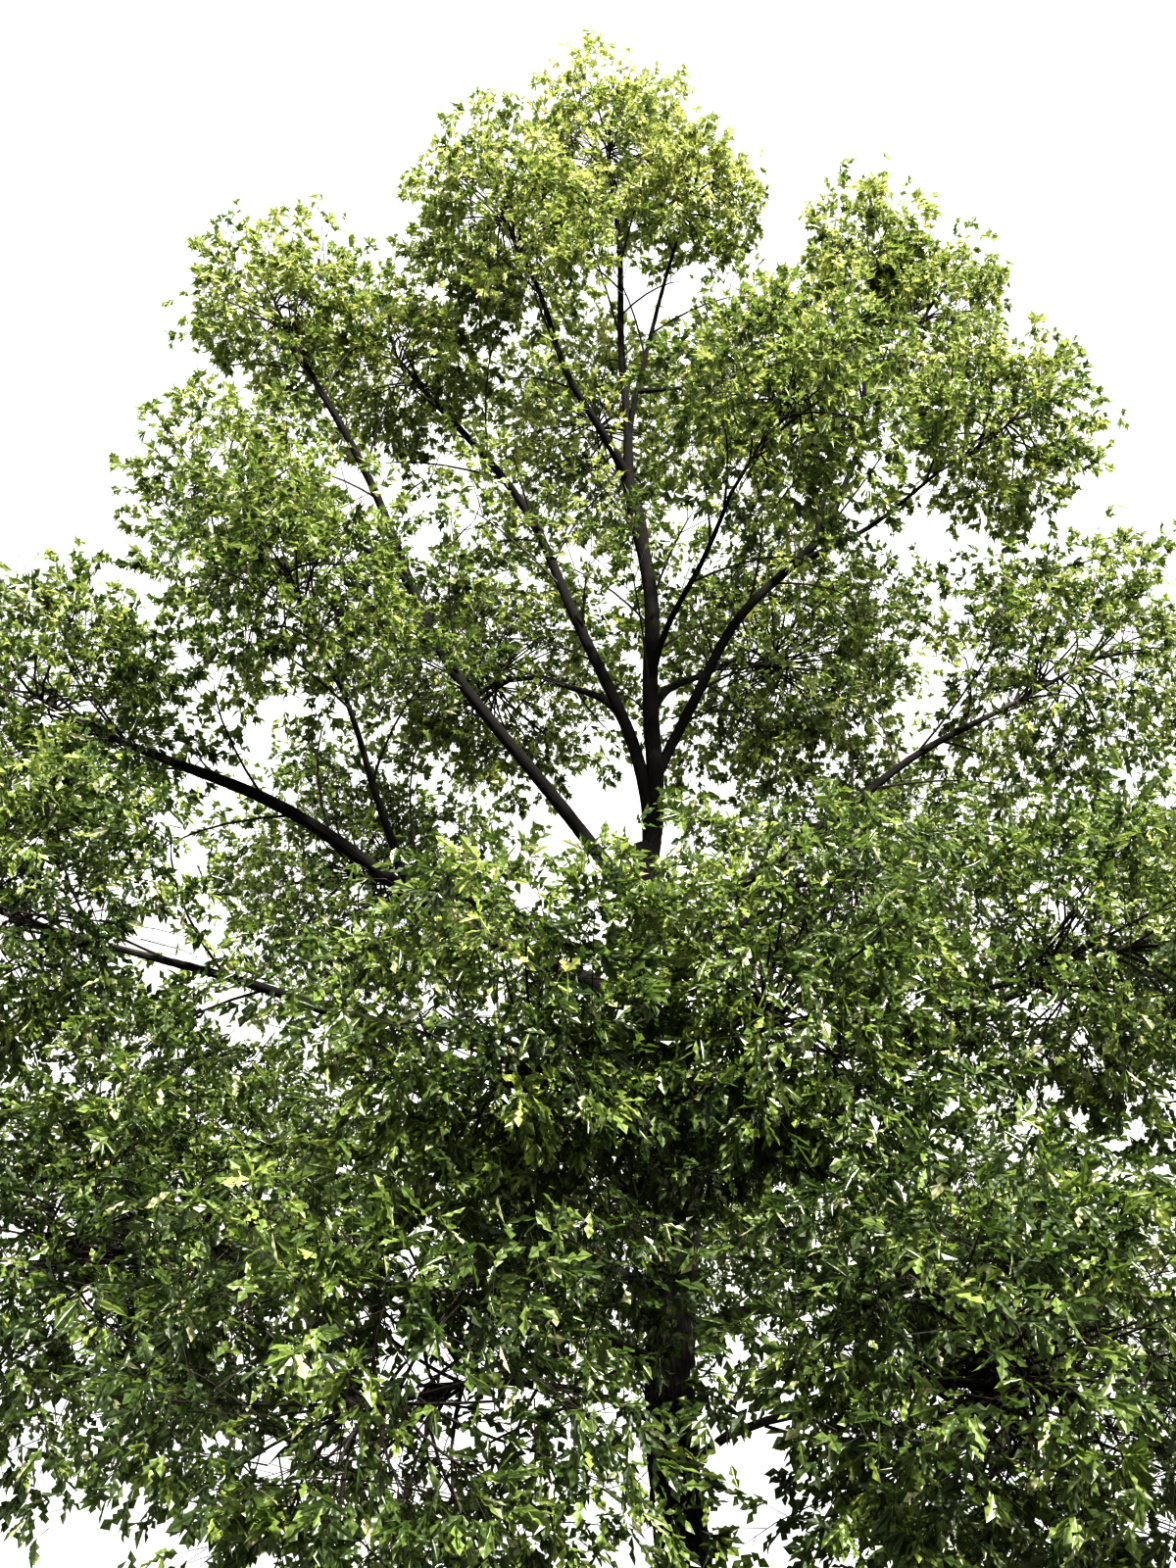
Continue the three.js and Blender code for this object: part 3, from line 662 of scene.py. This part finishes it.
def tubes(paths, half_widths, sides):
    """Tapering tubes along many paths of as many points, each closed at its foot and drawn to a point at its
    tip: corners, the faces of one tube's walls, tip and foot, and how many corners each tube has."""
    count, rings = paths.shape[0], paths.shape[1] - 1
    along = unit(np.gradient(paths, axis=1))[:, :-1]
    reference = square_to(unit(paths[:, -1] - paths[:, 0]))[:, None]
    third = unit(np.cross(along, reference))
    across = np.cross(third, along)
    turns = 2 * math.pi * np.arange(sides) / sides
    offset = across[:, :, None] * np.cos(turns)[:, None] + third[:, :, None] * np.sin(turns)[:, None]
    rims = paths[:, :-1, None] + offset * np.broadcast_to(half_widths[:-1], (count, rings))[..., None, None]
    corners = np.concatenate([rims.reshape(count, -1, 3), paths[:, -1:]], 1)
    j = np.arange(sides)
    step = (j + 1) % sides
    ring = np.stack([j, step, step + sides, j + sides], 1)
    walls = (ring + sides * np.arange(rings - 1)[:, None, None]).reshape(-1, 4)
    tip = np.stack([j, step, np.full(sides, sides)], 1) + sides * (rings - 1)
    return corners.reshape(-1, 3), (walls, tip, j[None, ::-1]), rings * sides + 1


def tube_mesh(batches):
    """One list of corners and faces from batches of tubes, each as paths, half widths and sides."""
    corners, faces, start = [], [], 0
    for paths, half_widths, sides in batches:
        points, kinds, per_tube = tubes(paths, half_widths, sides)
        first = start + per_tube * np.arange(len(paths))[:, None, None]
        for kind in kinds:
            faces += (kind + first).reshape(-1, kind.shape[1]).tolist()
        corners.append(points)
        start += len(points)
    return np.concatenate(corners), faces


def twig_batches(growth):
    """The tubes of one mass: its stem, its twigs, and the axes and twiglets of its sprays."""
    limb, bends = growth["limb"], growth["bends"]
    twig_shares = np.linspace(0, 1, TWIG_LOOK["rings"])
    spray_shares = np.linspace(0, 1, SPRAY_LOOK["rings"])
    twiglets = np.stack([growth["twiglets"]["roots"], growth["twiglets"]["tips"]], 1)
    batches = [
        (along_bends(growth["twigs"], twig_shares), tapered(TWIG_LOOK["widths"], twig_shares),
            TWIG_LOOK["sides"]),
        (along_bends(bends, spray_shares), tapered(SPRAY_LOOK["widths"], spray_shares), SPRAY_LOOK["sides"]),
        (twiglets, tapered(TWIGLET_LOOK["widths"], np.array([0.0, 1.0])), TWIGLET_LOOK["sides"]),
    ]
    if growth["stem"]:
        foot = limb["width"] * (1 if limb.get("low") else TIP_SHARE)
        shares = np.linspace(0, 1, STEM_LOOK["rings"])
        widths = tapered((foot, STEM["tip_width"]), shares)
        batches.append((growth["stem"].point(shares)[None], widths, STEM_LOOK["sides"]))
    return batches


def along_bends(bends, shares):
    return np.stack([on_bends(bends, share) for share in shares], 1)


def tapered(widths, shares):
    return (widths[0] + (widths[1] - widths[0]) * shares) / 2


def leaf_blade(side):
    """One lobed oak leaf, its stalk end at the origin and its tip one unit up Y, folded along its midrib."""
    outline = [(0.0, 0.0), *side, (0.0, 1.0), *((-x, y + LOBE_STAGGER) for x, y in reversed(side))]
    bpy.ops.object.select_all(action="DESELECT")
    bpy.ops.mesh.primitive_circle_add(vertices=len(outline), radius=1, fill_type="NGON")
    blade = bpy.context.object
    for i, (x, y) in enumerate(outline):
        select_corners(blade, [i])
        place = Vector((x, y, LEAF_FOLD * abs(x) - LEAF_CURL * y * y))
        bpy.ops.object.mode_set(mode="EDIT")
        bpy.ops.transform.translate(value=place - blade.data.vertices[i].co)
        bpy.ops.object.mode_set(mode="OBJECT")
    select_corners(blade, [0, len(side) + 1])
    bpy.ops.object.mode_set(mode="EDIT")
    bpy.ops.mesh.vert_connect_path()
    bpy.ops.mesh.select_all(action="SELECT")
    bpy.ops.mesh.quads_convert_to_tris(quad_method="BEAUTY", ngon_method="BEAUTY")
    bpy.ops.mesh.normals_make_consistent(inside=False)
    bpy.ops.object.mode_set(mode="OBJECT")
    corners = np.array([corner.co[:] for corner in blade.data.vertices])
    faces = np.array([face.vertices[:] for face in blade.data.polygons])
    if blade.data.polygons[0].normal.z < 0:
        faces = faces[:, ::-1]
    bpy.data.objects.remove(blade)
    return corners, faces


def select_corners(piece, chosen):
    """Selects only these corners of a mesh."""
    bpy.ops.object.mode_set(mode="EDIT")
    bpy.ops.mesh.select_mode(type="VERT")
    bpy.ops.mesh.select_all(action="DESELECT")
    bpy.ops.object.mode_set(mode="OBJECT")
    for i in chosen:
        piece.data.vertices[i].select = True


def new_piece(name, corners, faces, materials):
    mesh = bpy.data.meshes.new(name)
    mesh.from_pydata(corners, [], faces)
    for material in materials:
        mesh.materials.append(material)
    piece = bpy.data.objects.new(name, mesh)
    bpy.context.collection.objects.link(piece)
    return piece


def leaf_piece(name, leaves, blade, materials):
    """Leaves joined into one mesh, each laid out from the one blade, in its own green."""
    corners, faces = blade
    across = np.cross(leaves["direction"], leaves["face"])
    local = corners * leaves["length"][:, None, None]
    placed = leaves["feet"][:, None] + sum(
        local[:, :, k, None] * axis[:, None]
        for k, axis in enumerate((across, leaves["direction"], leaves["face"]))
    )
    count = len(placed)
    all_faces = faces + len(corners) * np.arange(count)[:, None, None]
    piece = new_piece(name, placed.reshape(-1, 3), all_faces.reshape(-1, 3), materials)
    mesh = piece.data
    mesh.polygons.foreach_set("material_index", np.repeat(leaves["green"], len(faces)).astype(np.int32))
    flat = mesh.uv_layers.new(name="blade")
    blade_uv = corners[faces.ravel()][:, :2] + (0.5, 0)
    flat.data.foreach_set("uv", np.tile(blade_uv, (count, 1)).astype(np.float32).ravel())
    return piece


def deal_greens_with_painted_light(sprays, dice):
    """Each spray's place in the row of greens: lighter toward the top of the crown as painted sunlight,
    darker low down as painted shade, with a draw.
    """
    height = np.clip(sprays[:, 1, 2] / TOP_OF_CROWN, 0, 1)
    # Painted light: greens paler toward the sunlit top of the crown, darker in its shaded foot
    shade = GREENS_PAINTED_LIT_BY_HEIGHT[0] + (GREENS_PAINTED_LIT_BY_HEIGHT[1] - GREENS_PAINTED_LIT_BY_HEIGHT[0]) * height**PAINTED_LIGHT_RISE
    shade = shade + dice.normal(size=len(sprays)) * GREEN_DRAW
    return shade * (len(LEAF_GREENS) - 2)


def leaf_list(growth, form, wood, dice):
    """The leaves of one mass that stay in its reach and clear of the wood."""
    leaves = plan_leaves(growth["twiglets"], form, deal_greens_with_painted_light(growth["sprays"], dice), dice)
    along = leaves["direction"] * leaves["length"][:, None]
    middle, tip = leaves["feet"] + along / 2, leaves["feet"] + along
    kept = within_crown(growth["spaces"], tip)
    kept[kept] = wood.clear_of(middle[kept], LEAF["clear"])
    kept[kept] = wood.clear_of(tip[kept], LEAF["clear"])
    return {key: value[kept] for key, value in leaves.items()}


def within_crown(spaces, points):
    """Which of the points are in the reach of a mass, or in the inner crown between the masses."""
    inner = np.hypot(points[:, 0], points[:, 1]) < INNER_CROWN["radius"]
    inner &= points[:, 2] < INNER_CROWN["top"]
    return inner | np.any([space.within_reach(points) for space in spaces], axis=0)


def grow_cage(limb):
    """A limb's cage: a ring at its foot, extruded and turned from ring to ring along its route."""
    look = TRUNK_LOOK if limb["name"] == "trunk" else BOUGH_LOOK
    sides = look["sides"]
    rings = round(limb["route"].length * limb["stop"] / look["ring_step"])
    shares = np.array([0, HELD_FOOT, *(np.arange(1, rings + 1) / rings) ** look["spacing"]])
    centres = limb["route"].point(shares * limb["stop"])
    ways = tangent(limb["route"], shares * limb["stop"])
    if limb["name"] == "trunk":
        ways = np.tile(UP, (len(shares), 1))
    held = 3 / (2 + math.cos(2 * math.pi / sides))
    widths = wood_half_width(limb, shares) * held
    centres = np.vstack([centres, centres[-1] + ways[-1] * widths[-1] * TIP_DOME])
    ways = np.vstack([ways, ways[-1]])
    widths = np.append(widths, widths[-1] * TIP_DOME)

    bpy.ops.object.select_all(action="DESELECT")
    bpy.ops.mesh.primitive_circle_add(vertices=sides, radius=widths[0], fill_type="NGON")
    piece = bpy.context.object
    piece.name = limb["name"] + "_bark"
    bpy.ops.object.mode_set(mode="EDIT")
    turned = turn_ring(Vector(UP), Vector(ways[0]), Vector())
    bpy.ops.transform.translate(value=centres[0])
    frames = [turned]
    for i in range(1, len(centres)):
        bpy.ops.mesh.extrude_region()
        bpy.ops.transform.translate(value=centres[i] - centres[i - 1])
        middle = Vector(centres[i])
        turned = turn_ring(Vector(ways[i - 1]), Vector(ways[i]), middle) @ turned
        bpy.ops.transform.resize(value=[widths[i] / widths[i - 1]] * 3, center_override=middle)
        frames.append(turned)
    bpy.ops.mesh.select_all(action="SELECT")
    bpy.ops.mesh.normals_make_consistent(inside=False)
    bpy.ops.object.mode_set(mode="OBJECT")
    lay_bark_places(piece, centres, frames)
    return piece


def turn_ring(before, after, middle):
    """Turns what is selected from one direction to the next about a point, one axis after the other."""
    turn = before.rotation_difference(after)
    for axis, angle in zip("XYZ", turn.to_euler("XYZ")):
        bpy.ops.transform.rotate(value=-angle, orient_axis=axis, orient_type="GLOBAL",
            center_override=middle)
    return turn.to_matrix()


def lay_bark_places(piece, centres, frames):
    """Gives each corner of a cage its place as if the limb stood straight, for the bark's pattern."""
    along = np.concatenate([[0], np.cumsum(np.linalg.norm(np.diff(centres, axis=0), axis=1))])
    corners = np.array([corner.co[:] for corner in piece.data.vertices])
    ring = np.linalg.norm(corners[:, None] - centres[None], axis=2).argmin(1)
    places = np.einsum("nji,nj->ni", np.array([frame[:] for frame in frames])[ring], corners - centres[ring])
    places[:, 2] += along[ring]
    attribute = piece.data.attributes.new("bark_place", "FLOAT_VECTOR", "POINT")
    attribute.data.foreach_set("vector", places.ravel())


def ridge_height(place, block):
    """How far up the bark's ridges a place is: 0 in a furrow, 1 on the flat top of a block."""
    sway = noise.noise_vector(place * BARK["sway_scale"]) * BARK["sway"]
    along = place.z / block / BARK["block_tall"]
    cell = Vector(((place.x + sway.x) / block, (place.y + sway.y) / block, along))
    near, second = noise.voronoi(cell)[0][:2]
    return min(1.0, (second - near) / BARK["furrow"])


def carve_bark(piece, limb):
    """Raises the bark's ridges and sinks its furrows, and spreads the buttresses of the trunk's foot."""
    mesh = piece.data
    count = len(mesh.vertices)
    places, normals, corners = np.empty(count * 3), np.empty(count * 3), np.empty(count * 3)
    mesh.attributes["bark_place"].data.foreach_get("vector", places)
    mesh.vertex_normals.foreach_get("vector", normals)
    mesh.vertices.foreach_get("co", corners)
    places, normals, corners = (values.reshape(-1, 3) for values in (places, normals, corners))
    thick = np.clip(limb["width"] / TRUNK["width"], BARK["least_share"], 1)
    ridges = np.array([ridge_height(Vector(place), BARK["block"] * thick) for place in places])
    depth = np.full(count, BARK["depth"] * thick)
    if limb["name"] == "trunk":
        depth *= np.clip(corners[:, 2] / BARK["foot_fade"], 0, 1)
        flare = FLARE["depth"] * np.exp(-corners[:, 2] / FLARE["height"])
        wave = np.cos(FLARE["buttresses"] * np.arctan2(places[:, 0], places[:, 1]))
        corners[:, :2] += places[:, :2] * (flare * wave)[:, None]
    corners += normals * ((ridges - BARK["level"]) * depth)[:, None]
    corners[:, 2] = np.maximum(corners[:, 2], 0)
    mesh.vertices.foreach_set("co", corners.ravel())
    mesh.attributes.new("ridge", "FLOAT", "POINT").data.foreach_set("value", ridges)


def grow_wood(limb):
    """One limb's wood as a finished piece: its cage, smoothed, with its bark carved."""
    piece = grow_cage(limb)
    levels = (TRUNK_LOOK if limb["name"] == "trunk" else BOUGH_LOOK)["levels"]
    smooth = piece.modifiers.new("smooth", "SUBSURF")
    smooth.levels = smooth.render_levels = levels
    bpy.ops.object.modifier_apply(modifier=smooth.name)
    bpy.ops.object.shade_smooth()
    carve_bark(piece, limb)
    return piece


def linear(hex_colour):
    """A screen colour as the linear one that a shader takes."""
    parts = [int(hex_colour[i : i + 2], 16) / 255 for i in (1, 3, 5)]
    return (*(p / 12.92 if p <= 0.04045 else ((p + 0.055) / 1.055) ** 2.4 for p in parts), 1.0)


def add_node(tree, kind, inputs, **settings):
    """Adds a node with its settings, its inputs each a value or another node's output."""
    node = tree.nodes.new(kind)
    for name, value in settings.items():
        setattr(node, name, value)
    for name, value in inputs.items():
        if isinstance(value, bpy.types.NodeSocket):
            tree.links.new(value, node.inputs[name])
        else:
            node.inputs[name].default_value = value
    return node


def new_material(name):
    """An empty material: its node tree and the socket that its shader goes to."""
    material = bpy.data.materials.new(name)
    material.use_nodes = True
    material.node_tree.nodes.clear()
    output = material.node_tree.nodes.new("ShaderNodeOutputMaterial")
    return material, material.node_tree, output.inputs["Surface"]


def oak_leaf(name, colour):
    """Black oak leaf, fresh and glossy: a waxy sheen, side veins, and light through the thin blade."""
    material, tree, surface = new_material(name)
    place = add_node(tree, "ShaderNodeUVMap", {}, uv_map="blade").outputs["UV"]
    parts = add_node(tree, "ShaderNodeSeparateXYZ", {"Vector": place})
    from_rib = add_node(tree, "ShaderNodeMath", {0: parts.outputs["X"], 1: 0.5}, operation="SUBTRACT")
    out = add_node(tree, "ShaderNodeMath", {0: from_rib.outputs[0]}, operation="ABSOLUTE").outputs[0]
    slanted = add_node(tree, "ShaderNodeMath", {0: out, 1: -VEINS["slant"], 2: parts.outputs["Y"]},
        operation="MULTIPLY_ADD").outputs[0]
    often = VEINS["pairs"] * math.pi
    waves = add_node(tree, "ShaderNodeMath", {0: slanted, 1: often}, operation="MULTIPLY")
    veins = add_node(tree, "ShaderNodeMath", {0: waves.outputs[0]}, operation="SINE").outputs[0]
    bump = add_node(tree, "ShaderNodeBump", {"Height": veins, "Distance": VEINS["depth"],
        "Strength": VEINS["strength"]})
    blade = add_node(tree, "ShaderNodeBsdfPrincipled", {
        "Base Color": linear(colour), "Roughness": 0.42, "IOR": 1.45, "Coat Weight": 0.8,
        "Coat Roughness": 0.3, "Normal": bump.outputs["Normal"],
    })
    through = add_node(tree, "ShaderNodeBsdfTranslucent", {"Color": linear(LEAF_GLOW[name])})
    mix = add_node(tree, "ShaderNodeMixShader", {0: LEAF_THIN, 1: blade.outputs[0], 2: through.outputs[0]})
    tree.links.new(mix.outputs[0], surface)
    return material


def oak_bark():
    """Black oak bark, weathered: dark blocky ridges with near-black furrows, grey where lichen has taken."""
    material, tree, surface = new_material("weathered_oak_bark")
    place = add_node(tree, "ShaderNodeAttribute", {}, attribute_name="bark_place").outputs["Vector"]
    ridge = add_node(tree, "ShaderNodeAttribute", {}, attribute_name="ridge").outputs["Fac"]
    grain = add_node(tree, "ShaderNodeTexNoise", {
        "Vector": place, "Scale": per_mm(BARK["grain_mm"]), "Detail": 6,
    })
    patch = add_node(tree, "ShaderNodeTexNoise", {
        "Vector": place, "Scale": per_mm(BARK["lichen_mm"]), "Detail": 4,
    })
    # Darker in the furrows and lighter on the ridge tops, by ridge height, with the grain
    ridge_tone = add_node(tree, "ShaderNodeMath", {0: grain.outputs["Fac"], 1: 0.5, 2: ridge},
        operation="MULTIPLY_ADD")
    wood = add_node(tree, "ShaderNodeValToRGB", {"Fac": ridge_tone.outputs[0]})
    set_ramp(wood, BARK_COLOURS)
    lichen = add_node(tree, "ShaderNodeValToRGB", {"Fac": patch.outputs["Fac"]})
    set_ramp(lichen, LICHEN_SPREAD)
    cover = add_node(tree, "ShaderNodeMath", {0: lichen.outputs["Color"], 1: ridge}, operation="MULTIPLY")
    colour = add_node(tree, "ShaderNodeMix", {
        "Factor": cover.outputs[0], 6: wood.outputs["Color"], 7: linear(LICHEN_GREY),
    }, data_type="RGBA")
    bump = add_node(tree, "ShaderNodeBump", {
        "Height": grain.outputs["Fac"], "Distance": BARK["grain_depth"], "Strength": 0.8,
    })
    shader = add_node(tree, "ShaderNodeBsdfPrincipled", {
        "Base Color": colour.outputs[2], "Roughness": 0.93, "IOR": 1.45, "Normal": bump.outputs["Normal"],
    })
    tree.links.new(shader.outputs[0], surface)
    return material


def twig_bark():
    """The smooth young bark of twigs: dark reddish brown, paler in patches where it has aged."""
    material, tree, surface = new_material("smooth_twig_bark")
    place = add_node(tree, "ShaderNodeTexCoord", {}).outputs["Object"]
    age = add_node(tree, "ShaderNodeTexNoise", {
        "Vector": place, "Scale": per_mm(TWIG_PATCH_MM), "Detail": 3,
    })
    colour = add_node(tree, "ShaderNodeValToRGB", {"Fac": age.outputs["Fac"]})
    set_ramp(colour, TWIG_COLOURS)
    shader = add_node(tree, "ShaderNodeBsdfPrincipled", {"Base Color": colour.outputs[0], "Roughness": 0.7})
    tree.links.new(shader.outputs[0], surface)
    return material


def set_ramp(node, stops):
    """Gives a colour ramp its stops, each a place and a screen colour."""
    ramp = node.color_ramp
    while len(ramp.elements) < len(stops):
        ramp.elements.new(1)
    for element, (place, colour) in zip(ramp.elements, stops):
        element.position = place
        element.color = linear(colour)


def per_mm(size):
    """The scale of a pattern whose features are so many millimetres apart."""
    return 1000 / size


def slot_of(limb):
    """The record's slot for a mass of foliage: by how high it is in the crown."""
    return next(slot for slot, up_to, _ in LEAF_SLOTS if limb["height"] < up_to)


def join(leaves):
    return {key: np.concatenate([part[key] for part in leaves]) for key in leaves[0]}


def dress_foliage(growths, wood, dice):
    """Replaces every mass with its twigs and leaves, joined by how high in the crown they are."""
    greens = [oak_leaf(name, colour) for name, colour in LEAF_GREENS.items()]
    twigs = twig_bark()
    for slot, _, form in LEAF_SLOTS:
        blade = leaf_blade(form["side"])
        group = [growth for growth in growths if slot_of(growth["limb"]) == slot]
        nodes = [growth["limb"]["name"] + "_foliage" for growth in group if growth["stem"]]
        corners, faces = tube_mesh([batch for growth in group for batch in twig_batches(growth)])
        piece = new_piece(slot.replace("leaves", "twigs"), corners, faces, [twigs])
        finish_piece(piece, nodes, "bark")
        leaves = join([leaf_list(growth, form, wood, dice) for growth in group])
        count = len(leaves["length"])
        pieces = math.ceil(count / LEAVES_A_PIECE)
        for i in range(pieces):
            own = slice(i * count // pieces, (i + 1) * count // pieces)
            part = {key: value[own] for key, value in leaves.items()}
            finish_piece(leaf_piece(f"{slot}_{i + 1}", part, blade, greens), nodes, slot)


def finish_piece(piece, nodes, slot):
    """Fixes a piece to the tree, in place of its nodes. The slot is not used."""
    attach(piece, "root")
    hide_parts(*nodes)


def dress_wood(limbs):
    noise.seed_set(BARK_SEED)
    bark = oak_bark()
    for limb in limbs:
        piece = grow_wood(limb)
        piece.data.materials.append(bark)
        finish_piece(piece, [limb["name"]], "bark")


def set_stage():
    """A plain pale floor, a plain bright sky, a soft sun from the front right, and the photo's camera."""
    floor_material, tree, surface = new_material("pale_matt_floor")
    shader = add_node(tree, "ShaderNodeBsdfPrincipled", {
        "Base Color": linear(FLOOR_COLOUR), "Roughness": 0.9,
    })
    tree.links.new(shader.outputs[0], surface)
    bpy.ops.mesh.primitive_circle_add(vertices=FLOOR["corners"], radius=FLOOR["radius"], fill_type="NGON",
        location=(0, 0, -FLOOR["below"]))
    floor = bpy.context.object
    floor.name = "floor"
    floor.data.materials.append(floor_material)
    floor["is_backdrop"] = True

    world = bpy.data.worlds.new("sky")
    bpy.context.scene.world = world
    world.use_nodes = True
    sky = world.node_tree.nodes["Background"]
    sky.inputs["Color"].default_value = linear(SKY_COLOUR)
    sky.inputs["Strength"].default_value = SKY_STRENGTH
    bpy.context.scene.view_settings.view_transform = "Standard"
    bpy.context.scene.view_settings.look = "Very High Contrast"

    bpy.ops.object.light_add(type="SUN", rotation=[math.radians(turn) for turn in SUN["turn"]])
    sun = bpy.context.object.data
    sun.energy = SUN["energy"]
    sun.angle = math.radians(SUN["softness"])
    sun.color = linear(SUN["colour"])[:3]

    bpy.ops.object.camera_add(location=CAMERA["place"], rotation=(math.radians(90 + CAMERA["pitch"]), 0, 0))
    camera = bpy.context.object
    camera.data.sensor_fit = "VERTICAL"
    camera.data.sensor_height = CAMERA["film"]
    camera.data.lens = CAMERA["film"] * CAMERA["focal_px"] / CAMERA["image_height"]
    camera.data.clip_end = CAMERA["sees_to"]
    bpy.context.scene.camera = camera


def grow_foliage(limbs, bearers, wood, dice):
    """What grows on every limb: the twigs, sprays and twiglets along it and in the mass at its tip."""
    spaces = {limb["name"]: Space(limb, bearers) for limb in bearers}
    growths = []
    for limb in limbs:
        stem = None
        twigs, runs = side_growth(limb, dice)
        if limb["name"] in spaces:
            tip = fine_growth(limb, spaces[limb["name"]], dice)
            stem = tip["stem"]
            twigs = np.concatenate([twigs, tip["twigs"]])
            runs = np.concatenate([runs, tip["sprays"]])
        twigs, runs = clear_growth(twigs, runs, list(spaces.values()), wood, dice)
        bends = spray_bends(runs)
        twiglets = plan_twiglets(bends, dice)
        kept = within_crown(spaces.values(), twiglets["tips"])
        twiglets = {key: value[kept] for key, value in twiglets.items()}
        growths.append(dict(limb=limb, spaces=spaces.values(), stem=stem, twigs=twigs, sprays=runs,
            bends=bends, twiglets=twiglets))
    return growths


def main():
    plans = plan_tree()
    limbs = [limb for limb in plans.values() if not limb.get("low")]
    bearers = [limb for limb in plans.values() if "spread" in limb]
    dice = np.random.RandomState(LEAF_SEED)
    wood = LimbWood(limbs)
    growths = grow_foliage(plans.values(), bearers, wood, dice)
    dress_wood(limbs)
    dress_foliage(growths, wood, dice)
    set_stage()


main()
boxes = {"cad": CAD_BOX, "visual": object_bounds()}
{name: [list(corner) for corner in box] for name, box in boxes.items()}
